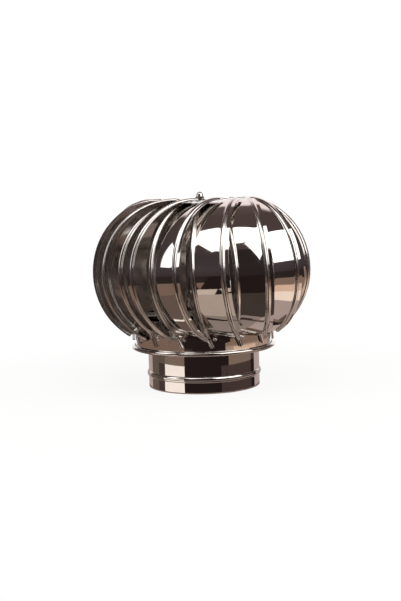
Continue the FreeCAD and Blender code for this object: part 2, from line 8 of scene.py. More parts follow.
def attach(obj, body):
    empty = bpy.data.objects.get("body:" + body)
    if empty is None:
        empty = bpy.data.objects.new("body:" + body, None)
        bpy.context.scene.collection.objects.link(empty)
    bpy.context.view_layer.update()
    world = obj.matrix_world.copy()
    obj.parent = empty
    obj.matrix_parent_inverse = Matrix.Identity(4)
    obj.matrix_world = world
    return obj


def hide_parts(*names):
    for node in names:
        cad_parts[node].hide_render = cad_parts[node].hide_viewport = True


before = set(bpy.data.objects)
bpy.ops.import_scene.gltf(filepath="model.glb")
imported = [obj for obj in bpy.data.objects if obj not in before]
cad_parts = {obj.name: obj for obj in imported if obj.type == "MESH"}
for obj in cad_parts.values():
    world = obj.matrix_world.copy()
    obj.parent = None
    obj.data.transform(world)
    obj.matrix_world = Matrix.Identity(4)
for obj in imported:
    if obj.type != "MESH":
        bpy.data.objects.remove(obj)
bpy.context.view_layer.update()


# Spigot collar: a tube rolled from mirror-polished stainless sheet, lap-seamed down one side.
# A bead is swaged round it near the foot, and the plain end below that pushes into the flue.
def fill(node, values):
    """Sets constant values on a shader node's own sockets."""
    for socket, value in values.items():
        node.inputs[socket].default_value = value


def steel(name, colour, roughness, spread, grain, wave, metal=1.0):
    """Steel whose gloss wanders with rubbed patches, over fine polishing lines and a faint waviness."""
    made = bpy.data.materials.new(name)
    made.use_nodes = True
    nodes = made.node_tree.nodes
    link = made.node_tree.links.new
    shader = nodes["Principled BSDF"]
    fill(shader, {"Metallic": metal})
    place = nodes.new("ShaderNodeTexCoord").outputs["Object"]

    def noise(scale, detail, stretch=(1, 1, 1)):
        mapping = nodes.new("ShaderNodeMapping")
        fill(mapping, {"Scale": stretch})
        link(place, mapping.inputs["Vector"])
        texture = nodes.new("ShaderNodeTexNoise")
        fill(texture, {"Scale": scale, "Detail": detail})
        link(mapping.outputs["Vector"], texture.inputs["Vector"])
        return texture.outputs["Fac"]

    def between(factor, low, high):
        span = nodes.new("ShaderNodeMapRange")
        fill(span, {"From Min": 0.35, "From Max": 0.65, "To Min": low, "To Max": high})
        link(factor, span.inputs["Value"])
        return span.outputs["Result"]

    def bumps(height, distance, strength):
        bump = nodes.new("ShaderNodeBump")
        fill(bump, {"Distance": distance, "Strength": strength})
        link(height, bump.inputs["Height"])
        return bump

    rubbed = [0.93 * part for part in colour]
    tint = nodes.new("ShaderNodeMix")
    tint.data_type = "RGBA"
    fill(tint, {"A": (*colour, 1), "B": (*rubbed, 1)})
    link(between(noise(scale=38, detail=3), 0, 1), tint.inputs["Factor"])
    link(tint.outputs["Result"], shader.inputs["Base Color"])
    link(between(noise(scale=60, detail=4), roughness, roughness + spread), shader.inputs["Roughness"])
    lines = bumps(noise(scale=900, detail=2, stretch=(1, 1, 0.06)), distance=0.00002, strength=grain)
    sway = bumps(noise(scale=14, detail=1), distance=0.001, strength=wave)
    link(lines.outputs["Normal"], sway.inputs["Normal"])
    link(sway.outputs["Normal"], shader.inputs["Normal"])
    return made


def piece(name, mesh, material, body, slot, *nodes):
    """A finished mesh as an object that rides on a body and stands for its nodes."""
    mesh.materials.append(material)
    made = bpy.data.objects.new(name, mesh)
    bpy.context.scene.collection.objects.link(made)
    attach(made, body)
    if nodes:
        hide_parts(*nodes)
    return made


def close(bm, name, smooth_to=25):
    """Ends a bmesh: smooth faces, with edges kept crisp where they turn further than smooth_to degrees."""
    mesh = bpy.data.meshes.new(name)
    bm.to_mesh(mesh)
    bm.free()
    mesh.shade_smooth()
    mesh.set_sharp_from_angle(angle=radians(smooth_to))
    return mesh


def only(kind, items):
    """The elements of one kind among those that a mesh operator gives back."""
    return [item for item in items if isinstance(item, kind)]


def path(bm, places):
    """A run of edges through a few places, as its vertices."""
    verts = [bm.verts.new(place) for place in places]
    for start, end in zip(verts, verts[1:]):
        bm.edges.new((start, end))
    return verts


def chain(bm, points):
    """A run of edges through a few points given as radius and height."""
    return path(bm, [(radius, 0, height) for radius, height in points])


def arc(bm, start, centre, sweep, steps):
    """Carries a run of edges on round a centre in the radius and height plane, and gives its last vertex."""
    swept = bmesh.ops.spin(bm, geom=[start], cent=centre, axis=(0, 1, 0), angle=radians(sweep), steps=steps)
    return only(bmesh.types.BMVert, swept["geom_last"])[0]


def turn(bm, steps):
    """Spins every edge drawn so far right round the axis."""
    bmesh.ops.spin(bm, geom=bm.verts[:] + bm.edges[:], cent=(0, 0, 0), axis=UP, angle=2 * pi, steps=steps,
                   use_merge=True)
    bmesh.ops.remove_doubles(bm, verts=bm.verts, dist=TOUCH)
    bmesh.ops.recalc_face_normals(bm, faces=bm.faces)


def thicken(bm, inward):
    """Gives a sheet its thickness on its inner side."""
    bmesh.ops.solidify(bm, geom=bm.faces[:], thickness=inward)


# Lengths are in metres and angles in degrees
UP = Vector((0, 0, 1))
TOUCH = 1e-6
SPIGOT = 0.075
COLLAR_SHEET = 0.0006
COLLAR_TOP = 0.080
CUT_EDGE = 0.0004
BEAD_FOOT = 0.0145
BEAD_TOP = 0.0225
BEAD_INSET = 0.003
BEAD_SWEEP = 106.26
LAP_EDGE = -67.0
LAP_WIDTH = 9.0
LAP_SHEET = 0.00035
LAP_GAP = 0.00005


def collar_wall(bm, radius):
    """The collar's section, from its foot over the swaged bead to its top."""
    foot = chain(bm, [(radius, 0), (radius, CUT_EDGE), (radius, BEAD_FOOT - CUT_EDGE), (radius, BEAD_FOOT)])
    bead_middle = (radius - BEAD_INSET, 0, (BEAD_FOOT + BEAD_TOP) / 2)
    bead_end = arc(bm, foot[-1], bead_middle, -BEAD_SWEEP, steps=12)
    wall = chain(bm, [(radius, BEAD_TOP + CUT_EDGE), (radius, COLLAR_TOP - CUT_EDGE), (radius, COLLAR_TOP)])
    bm.edges.new((bead_end, wall[0]))


mirror_sheet = steel("mirror_sheet", (0.80, 0.765, 0.735), roughness=0.03, spread=0.03, grain=0.02, wave=0.05)
bm = bmesh.new()
collar_wall(bm, SPIGOT)
turn(bm, steps=160)
thicken(bm, COLLAR_SHEET)
collar_mesh = close(bm, "spigot_collar", smooth_to=35)
piece("spigot_collar", collar_mesh, mirror_sheet, "base", "polished_steel", "base_collar")
bm = bmesh.new()
collar_wall(bm, SPIGOT + LAP_GAP + LAP_SHEET)
bmesh.ops.rotate(bm, verts=bm.verts, cent=(0, 0, 0), matrix=Matrix.Rotation(radians(LAP_EDGE), 3, "Z"))
bmesh.ops.spin(bm, geom=bm.verts[:] + bm.edges[:], cent=(0, 0, 0), axis=UP, angle=radians(LAP_WIDTH), steps=8)
bmesh.ops.recalc_face_normals(bm, faces=bm.faces)
if sum(face.normal.dot(face.calc_center_median()) for face in bm.faces) < 0:
    bmesh.ops.reverse_faces(bm, faces=bm.faces)
thicken(bm, LAP_SHEET)
piece("collar_lap", close(bm, "collar_lap", smooth_to=35), mirror_sheet, "base", "polished_steel")


# Spindle bracket: a flat bar of plain steel across the collar, its ends bent up along the wall.
# Four rivets with domed heads hold those ends to the collar.
def surface(material, *names):
    """Gives carried-over pieces their material."""
    for name in names:
        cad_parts[name].data.materials.clear()
        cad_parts[name].data.materials.append(material)


def rivets(name, grip, body, slot, node, places):
    """Set rivets, each drawn from its formed tail to its domed head, and put with the head's seat in its place."""
    bm = bmesh.new()
    row = chain(bm, [(0, -grip - TAIL_DEPTH), (TAIL_FACE, -grip - TAIL_DEPTH), (TAIL_SIDE, -grip - TAIL_EASE),
                     (RIVET_HEAD, -grip), (RIVET_SHANK, -grip), (RIVET_SHANK, 0), (RIVET_HEAD, 0)])
    arc(bm, row[-1], (0, 0, -HEAD_DROP), -HEAD_SWEEP, steps=6)
    turn(bm, steps=24)
    single = close(bm, name)
    group = bmesh.new()
    for place in places:
        copy = single.copy()
        copy.transform(place)
        group.from_mesh(copy)
        bpy.data.meshes.remove(copy)
    bpy.data.meshes.remove(single)
    piece(name, close(group, name), rivet_steel, body, slot, node)


def through_wall(bearing, seat, level):
    """The place of a rivet whose head lies outside a round wall."""
    return (Matrix.Rotation(radians(bearing), 4, "Z") @ Matrix.Translation((seat, 0, level))
            @ Matrix.Rotation(pi / 2, 4, "Y"))


RIVET_HEAD = 0.0026
RIVET_SHANK = 0.0016
HEAD_DROP = 0.002523
HEAD_SWEEP = 45.86
TAIL_SIDE = 0.0025
TAIL_FACE = 0.0019
TAIL_EASE = 0.0006
TAIL_DEPTH = 0.0011
BRACKET_BAR = 0.003
LEG_PLAY = 0.00011
LEG_BEARINGS = (5, -5, 175, 185)
BRACKET_RIVET_LEVEL = 0.0685
plain_bar = steel("plain_bar", (0.66, 0.64, 0.61), roughness=0.26, spread=0.16, grain=0.5, wave=0.05)
rivet_steel = steel("rivet_steel", (0.78, 0.75, 0.72), roughness=0.09, spread=0.10, grain=0.2, wave=0.0)
surface(plain_bar, "spindle_bracket")
rivets("bracket_rivet_set", BRACKET_BAR + LEG_PLAY + COLLAR_SHEET, "base", "polished_steel", "bracket_rivets",
       [through_wall(bearing, SPIGOT, BRACKET_RIVET_LEVEL) for bearing in LEG_BEARINGS])


# Spindle: a ground rod, threaded at its tail and stepped down to a stud at the top.
# Two zinc-plated nuts and washers clamp it to the bracket, and a third nut carries the lower bearing.
def lathe(name, points, material, body, slot, node, ease=0.0002):
    """A turned piece from its outline in radius and height, closed unless it starts on the axis, edges eased."""
    bm = bmesh.new()
    row = chain(bm, points)
    if points[0][0] > 0:
        bm.edges.new((row[-1], row[0]))
    bmesh.ops.bevel(bm, geom=[vert for vert in row if vert.co.x > 0], offset=ease, offset_type="OFFSET", segments=2,
                    profile=0.5, affect="VERTICES", material=-1)
    turn(bm, steps=64)
    piece(name, close(bm, name, smooth_to=40), material, body, slot, node)


def tube(bore, radius, foot, top):
    """The outline of a plain round piece with a hole."""
    return [(bore, foot), (radius, foot), (radius, top), (bore, top)]


def hexagon(bm, flats):
    """Planes six flats on a turned blank, which leaves the curved corner chamfers of a nut."""
    for side in range(6):
        angle = radians(30 + 60 * side)
        flat = Vector((cos(angle), sin(angle), 0))
        planed = bmesh.ops.bisect_plane(bm, geom=bm.verts[:] + bm.edges[:] + bm.faces[:], dist=TOUCH / 10,
                                        plane_co=flat * flats / 2, plane_no=flat, clear_outer=True)
        bmesh.ops.contextual_create(bm, geom=only(bmesh.types.BMEdge, planed["geom_cut"]))


def hex_nut(name, foot, node):
    """A plain hexagon nut, chamfered at both faces and countersunk at its thread."""
    top = foot + NUT_HEIGHT
    bm = bmesh.new()
    row = chain(bm, [(NUT_BORE, foot + NUT_SINK), (NUT_MOUTH, foot), (NUT_FACE, foot),
                     (NUT_BLANK, foot + NUT_CHAMFER), (NUT_BLANK, top - NUT_CHAMFER),
                     (NUT_FACE, top), (NUT_MOUTH, top), (NUT_BORE, top - NUT_SINK)])
    bm.edges.new((row[-1], row[0]))
    turn(bm, steps=96)
    hexagon(bm, NUT_FLATS)
    piece(name, close(bm, name, smooth_to=20), bright_zinc, "base", "plain_steel", node)


ROD = 0.004
ROD_FOOT = 0.0359
ROD_CHAMFER = 0.0034
SHOULDER = 0.24371
STUD = 0.003
STUD_TOP = 0.25671
STUD_CHAMFER = 0.0006
THREAD_FOOT = 0.0365
THREAD_ROOT = 0.0035
THREAD_RISE = 0.0005
THREAD_PITCH = 0.00125
THREAD_TURNS = 19
THREAD_TOP = 0.0610
DECK_FOOT = 0.048
DECK_TOP = DECK_FOOT + BRACKET_BAR
SLIP_BORE = 0.00402
WASHER = 0.008
WASHER_SHEET = 0.0016
NUT_BORE = 0.00405
NUT_SINK = 0.0005
NUT_MOUTH = 0.0046
NUT_FACE = 0.0062
NUT_BLANK = 0.0076
NUT_CHAMFER = 0.0008
NUT_HEIGHT = 0.0065
NUT_FLATS = 0.013
SEAT_NUT_FOOT = 0.0821
bright_zinc = steel("bright_zinc", (0.70, 0.69, 0.66), roughness=0.22, spread=0.14, grain=0.3, wave=0.05)
ground_steel = steel("ground_steel", (0.74, 0.73, 0.72), roughness=0.10, spread=0.08, grain=0.25, wave=0.02)
thread = []
for number in range(THREAD_TURNS):
    groove = THREAD_FOOT + THREAD_PITCH * number
    thread += [(THREAD_ROOT, groove), (ROD, groove + THREAD_RISE)]
lathe("spindle_rod", [(0, ROD_FOOT), (ROD_CHAMFER, ROD_FOOT), *thread, (ROD, THREAD_TOP), (ROD, SHOULDER),
                      (STUD, SHOULDER), (STUD, STUD_TOP - STUD_CHAMFER), (STUD - STUD_CHAMFER, STUD_TOP),
                      (0, STUD_TOP)],
      ground_steel, "base", "plain_steel", "spindle", ease=0.00005)
for place, foot in (("lower", DECK_FOOT - WASHER_SHEET), ("upper", DECK_TOP)):
    lathe(place + "_washer", tube(SLIP_BORE, WASHER, foot, foot + WASHER_SHEET),
          bright_zinc, "base", "plain_steel", f"bracket_{place}_washer")
hex_nut("lower_clamp_nut", DECK_FOOT - WASHER_SHEET - NUT_HEIGHT, "bracket_lower_nut")
hex_nut("upper_clamp_nut", DECK_TOP + WASHER_SHEET, "bracket_upper_nut")
hex_nut("seat_nut", SEAT_NUT_FOOT, "bearing_seat_nut")

# Bearings: two small ball bearings on the spindle, kept apart by a long tube between their inner races.
# Each sits in a pressed steel housing with a round flange.
LOWER_RACE_TOP = 0.0956
UPPER_RACE_TOP = 0.24411
RACE_WIDTH = 0.007
RACE_SHOULDER = 0.0057
HOUSING_BORE = 0.01102
HOUSING_SHEET = 0.0012
HOUSING_SIDE = HOUSING_BORE + HOUSING_SHEET
HOUSING_LIP = 0.009
HOUSING_FLANGE = 0.020
SLEEVE_BORE = 0.00302
SLEEVE_TOP = 0.24811
surface(ground_steel, "lower_inner_race", "upper_inner_race", "upper_outer_race", "lower_outer_race",
        "upper_bearing_balls", "upper_ball_cage", "lower_bearing_balls", "lower_ball_cage")
for place, top in (("lower", LOWER_RACE_TOP), ("upper", UPPER_RACE_TOP)):
    seat = top - RACE_WIDTH
    lathe(place + "_housing", [(HOUSING_LIP, seat - HOUSING_SHEET), (HOUSING_SIDE, seat - HOUSING_SHEET),
                               (HOUSING_SIDE, top - HOUSING_SHEET), (HOUSING_FLANGE, top - HOUSING_SHEET),
                               (HOUSING_FLANGE, top), (HOUSING_BORE, top), (HOUSING_BORE, seat),
                               (HOUSING_LIP, seat)],
          bright_zinc, "rotor", "plain_steel", place + "_bearing_housing", ease=0.0004)
lathe("spacer_tube", tube(SLIP_BORE, RACE_SHOULDER, LOWER_RACE_TOP, UPPER_RACE_TOP - RACE_WIDTH),
      plain_bar, "base", "plain_steel", "race_spacer")
lathe("top_sleeve", tube(SLEEVE_BORE, RACE_SHOULDER, UPPER_RACE_TOP, SLEEVE_TOP),
      bright_zinc, "base", "plain_steel", "top_collar")

# Skirt ring: a band rolled from the same sheet, its lower edge curled outwards for stiffness.
# The blades' tabs are riveted round it, and it hangs clear outside the collar.
RING_BORE = 0.0919
RING_SHEET = 0.0006
RING_TOP = 0.095
CURL = 0.00225
CURL_LEVEL = 0.05485
CURL_SWEEP = 300
bm = bmesh.new()
wall = chain(bm, [(RING_BORE, RING_TOP), (RING_BORE, RING_TOP - CUT_EDGE), (RING_BORE, CURL_LEVEL + CUT_EDGE),
                  (RING_BORE, CURL_LEVEL)])
arc(bm, wall[-1], (RING_BORE + CURL, 0, CURL_LEVEL), -CURL_SWEEP, steps=30)
turn(bm, steps=180)
thicken(bm, RING_SHEET)
ring_mesh = close(bm, "skirt_ring_band", smooth_to=35)
piece("skirt_ring_band", ring_mesh, mirror_sheet, "rotor", "polished_steel", "skirt_ring")

# Cross strap: a flat bar of galvanised steel across the top of the ring, its ends bent down inside the wall.
# It carries the lower housing, and rivets hold its ends to the ring.
STRAP_BAR = 0.0025
STRAP_RIVET_LEVEL = 0.0861
FLANGE_RIVET_CIRCLE = 0.0162
QUARTERS = [Matrix.Rotation(radians(45 + 90 * quarter), 4, "Z") for quarter in range(4)]
galvanised_bar = steel("galvanised_bar", (0.80, 0.775, 0.74), roughness=0.48, spread=0.14, grain=0.5, wave=0.05)
surface(galvanised_bar, "cross_strap")
rivets("strap_rivet_set", STRAP_BAR + LEG_PLAY + RING_SHEET, "rotor", "polished_steel", "strap_rivets",
       [through_wall(bearing, RING_BORE + RING_SHEET, STRAP_RIVET_LEVEL) for bearing in LEG_BEARINGS])
strap_seat = Matrix.Translation((FLANGE_RIVET_CIRCLE, 0, LOWER_RACE_TOP + STRAP_BAR))
rivets("lower_flange_rivets", STRAP_BAR + HOUSING_SHEET, "rotor", "plain_steel", "lower_housing_rivets",
       [quarter @ strap_seat for quarter in QUARTERS])


# Blades: long strips of mirror-polished sheet with a rib pressed along each edge, bent to one arc.
# The lower inner corner is folded to a tab that lies on the skirt ring; the top end lies on the disc.
def strip_section(bm):
    """The strip's section across its width: flat edges, two half-round ribs and a slight crown between them."""
    runs = [path(bm, [(BEND, y, 0) for y in run]) for run in (
        (-HALF_WIDTH, -HALF_WIDTH + STRIP_EDGE, -RIB_LINE - RIB - RIB_FLAT, -RIB_LINE - RIB),
        (-RIB_LINE + RIB, -CROWN_HALF),
        (CROWN_HALF, RIB_LINE - RIB),
        (RIB_LINE + RIB, RIB_LINE + RIB + RIB_FLAT, HALF_WIDTH - STRIP_EDGE, HALF_WIDTH))]
    crown_radius = (CROWN_HALF ** 2 + CROWN_RISE ** 2) / (2 * CROWN_RISE)
    crown_middle = (BEND + CROWN_RISE - crown_radius, 0, 0)
    crown_sweep = 2 * asin(CROWN_HALF / crown_radius)
    for before, after, centre, sweep, steps in ((runs[0], runs[1], (BEND, -RIB_LINE, 0), pi, 12),
                                                (runs[1], runs[2], crown_middle, crown_sweep, 8),
                                                (runs[2], runs[3], (BEND, RIB_LINE, 0), pi, 12)):
        swept = bmesh.ops.spin(bm, geom=[before[-1]], cent=centre, axis=UP, angle=sweep, steps=steps)
        last = only(bmesh.types.BMVert, swept["geom_last"])[0]
        bmesh.ops.pointmerge(bm, verts=[last, after[0]], merge_co=after[0].co)
    bmesh.ops.remove_doubles(bm, verts=bm.verts, dist=TOUCH)
    rib_corners = [vert for vert in bm.verts if vert.co.x < BEND + TOUCH
                   and abs(abs(abs(vert.co.y) - RIB_LINE) - RIB) < TOUCH]
    bmesh.ops.bevel(bm, geom=rib_corners, offset=RIB_EASE, offset_type="OFFSET", segments=4, profile=0.5,
                    affect="VERTICES", material=-1)


def bend_strip(bm):
    """Sweeps the section along the arc, runs the inner rib out before the top, and marks the ribs' faces."""
    bmesh.ops.rotate(bm, verts=bm.verts, cent=(0, 0, 0), matrix=Matrix.Rotation(radians(-TOP_ANGLE), 3, "Y"))
    bmesh.ops.spin(bm, geom=bm.verts[:] + bm.edges[:], cent=(0, 0, 0), axis=(0, 1, 0),
                   angle=radians(TOP_ANGLE + FOOT_ANGLE), steps=80)
    for vert in bm.verts:
        reach = hypot(vert.co.x, vert.co.z)
        if vert.co.y < 0 and reach > BEND:
            ahead = (RIB_END - degrees(atan2(vert.co.z, vert.co.x))) / RIB_RUN_OUT
            ahead = min(max(ahead, 0), 1)
            kept = ahead * ahead * (3 - 2 * ahead)
            scale = (BEND + (reach - BEND) * kept) / reach
            vert.co.x *= scale
            vert.co.z *= scale
    for face in bm.faces:
        middle = face.calc_center_median()
        if abs(middle.y) > CROWN_HALF + RIB_FLAT / 2 and hypot(middle.x, middle.z) > BEND + RIB_MARK:
            face.material_index = RIB_FACES
    bmesh.ops.transform(bm, verts=bm.verts, matrix=Matrix.Translation(HUB) @ ROLL)


def at_fold(vert):
    """Whether a vertex lies on the plane of the tab's fold, or near enough to be drawn to it."""
    return abs(vert.co.dot(OUTWARD) - FOLD_DISTANCE) < FOLD_NEAR


def on_tab(across, level):
    """A place on the tab's outer face."""
    return OUTWARD * FOLD_DISTANCE + ALONG * across + UP * level


def fold_tab(bm):
    """Cuts the lower inner corner away at the fold and draws the flat tab down from there."""
    lower = [face for face in bm.faces if face.calc_center_median().z < FOLD_REACH]
    rims = {edge for face in lower for edge in face.edges}
    ends = {vert for face in lower for vert in face.verts}
    bmesh.ops.bisect_plane(bm, geom=lower + list(rims) + list(ends), dist=TOUCH, plane_co=OUTWARD * FOLD_DISTANCE,
                           plane_no=OUTWARD, clear_inner=True)
    bmesh.ops.remove_doubles(bm, verts=bm.verts, dist=TOUCH)
    fold = [vert for vert in bm.verts if at_fold(vert) and vert.co.z < FOLD_TOP]
    bmesh.ops.remove_doubles(bm, verts=fold, dist=FOLD_NEAR / 2)
    crease = [edge for edge in bm.edges if edge.is_boundary and all(at_fold(vert) for vert in edge.verts)
              and max(vert.co.dot(ALONG) for vert in edge.verts) > CREASE_START]
    doubled = bmesh.ops.duplicate(bm, geom=crease)
    flap = bmesh.ops.extrude_edge_only(bm, edges=only(bmesh.types.BMEdge, doubled["geom"]))
    flap_verts = only(bmesh.types.BMVert, flap["geom"])
    spread = [vert.co.dot(ALONG) for vert in flap_verts]
    for vert in flap_verts:
        share = (vert.co.dot(ALONG) - min(spread)) / (max(spread) - min(spread))
        vert.co = on_tab(TAB_START + share * (TAB_END - TAB_START), TAB_FOOT + share * (TAB_END_FOOT - TAB_FOOT))
    bmesh.ops.recalc_face_normals(bm, faces=bm.faces)
    foremost = max(bm.faces, key=lambda face: face.calc_center_median().x)
    if foremost.normal.x < 0:
        bmesh.ops.reverse_faces(bm, faces=bm.faces)
    plate = [face for face in bm.faces if abs(face.normal.dot(OUTWARD)) > SQUARE_ON]
    if sum(face.normal.dot(OUTWARD) for face in plate) < 0:
        bmesh.ops.reverse_faces(bm, faces=plate)


def carry_rib(bm):
    """Carries the inner rib on down the tab's face."""
    rib_top = on_tab(-TAB_RIB_TOP, TAB_RIB_LEVEL)
    rib_run = on_tab(-TAB_RIB_FOOT, TAB_FOOT) - rib_top
    rib = bmesh.new()
    edge_vert = rib.verts.new(rib_top + rib_run.cross(OUTWARD).normalized() * RIB)
    bmesh.ops.spin(rib, geom=[edge_vert], cent=rib_top, axis=rib_run, angle=-pi, steps=14)
    drawn = bmesh.ops.extrude_edge_only(rib, edges=rib.edges[:])
    bmesh.ops.translate(rib, vec=rib_run, verts=only(bmesh.types.BMVert, drawn["geom"]))
    bmesh.ops.recalc_face_normals(rib, faces=rib.faces)
    if sum(face.normal.dot(OUTWARD) for face in rib.faces) < 0:
        bmesh.ops.reverse_faces(rib, faces=rib.faces)
    for face in rib.faces:
        face.material_index = RIB_FACES
    rib_mesh = bpy.data.meshes.new("tab_rib")
    rib.to_mesh(rib_mesh)
    rib.free()
    bm.from_mesh(rib_mesh)
    bpy.data.meshes.remove(rib_mesh)


def mark_back(bm):
    """Marks the faces that look towards the hub of the bend, which keep the sheet's duller side."""
    axle = ROLL.to_3x3() @ Vector((0, 1, 0))
    for face in bm.faces:
        arm = face.calc_center_median() - HUB
        arm -= axle * arm.dot(axle)
        if face.normal.dot(arm) < -BACK_TURN * arm.length:
            face.material_index = BACK_FACES


BLADES = 15
BLADE_SHEET = 0.0005
HALF_WIDTH = 0.027
STRIP_EDGE = 0.0003
BEND = 0.0923
TOP_ANGLE = 92.0
FOOT_ANGLE = 63.5
HUB = Vector((0.0348, 0.0442, 0.1558))
ROLL = Matrix.Rotation(radians(3.5), 4, "X")
FIRST_BEARING = 230.0
BEARINGS = [FIRST_BEARING + 360 / BLADES * index for index in range(BLADES)]
RIB = 0.00275
RIB_LINE = 0.01925
RIB_FLAT = 0.0012
RIB_EASE = 0.0008
RIB_MARK = 0.0002
RIB_END = 71
RIB_RUN_OUT = 5
CROWN_HALF = RIB_LINE - RIB - RIB_FLAT
CROWN_RISE = 0.0006
TAB_BEARING = 25
OUTWARD = Vector((cos(radians(TAB_BEARING)), sin(radians(TAB_BEARING)), 0))
ALONG = Vector((-sin(radians(TAB_BEARING)), cos(radians(TAB_BEARING)), 0))
FOLD_DISTANCE = 0.0931
FOLD_NEAR = 0.0004
FOLD_TOP = 0.09
FOLD_REACH = 0.106
CREASE_START = -0.015
TAB_START = -0.0065
TAB_END = 0.020
TAB_FOOT = 0.063
TAB_END_FOOT = 0.070
TAB_RIB_TOP = 0.01204
TAB_RIB_LEVEL = 0.0825
TAB_RIB_FOOT = 0.0033
SQUARE_ON = 0.9999
BACK_TURN = 0.3
RIB_FACES = 1
BACK_FACES = 2
pressed_rib = steel("pressed_rib", (0.80, 0.765, 0.735), roughness=0.16, spread=0.08, grain=0.05, wave=0.0)
dull_back = steel("dull_back", (0.62, 0.58, 0.55), roughness=0.10, spread=0.06, grain=0.03, wave=0.0, metal=0.94)
bm = bmesh.new()
strip_section(bm)
bend_strip(bm)
fold_tab(bm)
carry_rib(bm)
thicken(bm, BLADE_SHEET)
mark_back(bm)
blade_mesh = close(bm, "blade", smooth_to=35)
for index, bearing in enumerate(BEARINGS):
    name = f"blade_{index + 1:02d}"
    mesh = blade_mesh.copy()
    mesh.name = name
    mesh.transform(Matrix.Rotation(radians(bearing), 4, "Z"))
    piece(name + "_strip", mesh, mirror_sheet, "rotor", "polished_steel", name)
    mesh.materials.append(pressed_rib)
    mesh.materials.append(dull_back)

# Top disc: a plain round plate under the blades' upper ends, with the upper housing riveted below it.
# One rivet through the end of each blade holds it to the disc, and one through each tab to the ring.
DISC_BORE = 0.0086
DISC = 0.0452
DISC_SHEET = 0.0012
DISC_TOP = UPPER_RACE_TOP + DISC_SHEET
TOP_RIVET_SPOT = (0.03698, 0.01701)
TOP_RIVET_RISE = 0.001
TAB_GRIP = 0.00126
TAB_RIVET_LEVEL = 0.0735
lathe("top_plate", tube(DISC_BORE, DISC, UPPER_RACE_TOP, DISC_TOP), plain_bar, "rotor", "plain_steel", "top_disc")
disc_seat = Matrix.Translation((FLANGE_RIVET_CIRCLE, 0, DISC_TOP))
rivets("upper_flange_rivets", DISC_SHEET + HOUSING_SHEET, "rotor", "plain_steel", "upper_housing_rivets",
       [quarter @ disc_seat for quarter in QUARTERS])
blade_seat = Matrix.Translation((*TOP_RIVET_SPOT, DISC_TOP + BLADE_SHEET + TOP_RIVET_RISE))
rivets("blade_top_rivets", DISC_SHEET + BLADE_SHEET + TOP_RIVET_RISE, "rotor", "polished_steel", "top_blade_rivets",
       [Matrix.Rotation(radians(bearing), 4, "Z") @ blade_seat for bearing in BEARINGS])
rivets("blade_tab_rivets", TAB_GRIP, "rotor", "polished_steel", "ring_blade_rivets",
       [through_wall(bearing + TAB_BEARING, FOLD_DISTANCE, TAB_RIVET_LEVEL) for bearing in BEARINGS])

# Cap nut: a polished nut with a domed blind end, screwed on the stud above the upper bearing.
# Its dome is turned with the blank and tapers a little, and six flats are planed on below it.
CAP_BORE = 0.00305
CAP_DEPTH = 0.009
CAP_FACE = 0.0047
CAP_BLANK = 0.00578
CAP_CHAMFER = 0.0006
CAP_FLATS = 0.010
CAP_SHOULDER = 0.0049
CAP_NECK = 0.0049
DOME_FOOT = (0.00466, SLEEVE_TOP + 0.0056)
DOME_SIDE = (0.004312, SLEEVE_TOP + 0.008225)
DOME_MIDDLE = SLEEVE_TOP + 0.00765
DOME_SWEEP = 82.4
polished_nut = steel("polished_nut", (0.74, 0.72, 0.70), roughness=0.05, spread=0.05, grain=0.1, wave=0.0)
bm = bmesh.new()
row = chain(bm, [(0, SLEEVE_TOP + CAP_DEPTH), (CAP_BORE, SLEEVE_TOP + CAP_DEPTH), (CAP_BORE, SLEEVE_TOP),
                 (CAP_FACE, SLEEVE_TOP), (CAP_BLANK, SLEEVE_TOP + CAP_CHAMFER),
                 (CAP_BLANK, SLEEVE_TOP + CAP_SHOULDER), (CAP_NECK, SLEEVE_TOP + CAP_SHOULDER + CAP_CHAMFER),
                 DOME_FOOT, DOME_SIDE])
arc(bm, row[-1], (0, 0, DOME_MIDDLE), -DOME_SWEEP, steps=12)
turn(bm, steps=96)
hexagon(bm, CAP_FLATS)
cap_mesh = close(bm, "domed_cap_nut", smooth_to=20)
piece("domed_cap_nut", cap_mesh, polished_nut, "base", "plain_steel", "cap_nut")


# Studio: a pale floor before a white sweep, with one soft panel overhead and soft boxes at both sides.
# Dim screens and patches of ground stand round it; they only show as reflections in the steel.
def ramp(nodes, *stops):
    """A colour ramp from (place, colour) stops, its two ends first."""
    made = nodes.new("ShaderNodeValToRGB")
    for index, (place, colour) in enumerate(stops):
        stop = made.color_ramp.elements[index] if index < 2 else made.color_ramp.elements.new(place)
        stop.position = place
        stop.color = (*colour, 1)
    return made


def looked_at(nodes, link):
    """A socket of 1 for rays from the camera, off a mirror or through glass, and of 0 for scattered light."""
    rays = nodes.new("ShaderNodeLightPath")
    known = rays.outputs["Is Camera Ray"]
    for kind in ("Is Glossy Ray", "Is Transmission Ray"):
        either = nodes.new("ShaderNodeMath")
        either.operation = "MAXIMUM"
        link(known, either.inputs[0])
        link(rays.outputs[kind], either.inputs[1])
        known = either.outputs[0]
    return known


def screen(name, bm, colour, lights=False):
    """A screen of one even level that shows in reflections and not to the camera, and may light the rest."""
    mesh = bpy.data.meshes.new(name)
    bm.to_mesh(mesh)
    bm.free()
    even = bpy.data.materials.new(name)
    even.use_nodes = True
    nodes = even.node_tree.nodes
    nodes.remove(nodes["Principled BSDF"])
    shine = nodes.new("ShaderNodeEmission")
    fill(shine, {"Color": (*colour, 1)})
    even.node_tree.links.new(shine.outputs["Emission"], nodes["Material Output"].inputs["Surface"])
    mesh.materials.append(even)
    made = bpy.data.objects.new(name, mesh)
    made.visible_camera = False
    made.visible_shadow = False
    made.visible_diffuse = lights
    bpy.context.scene.collection.objects.link(made)
    return even


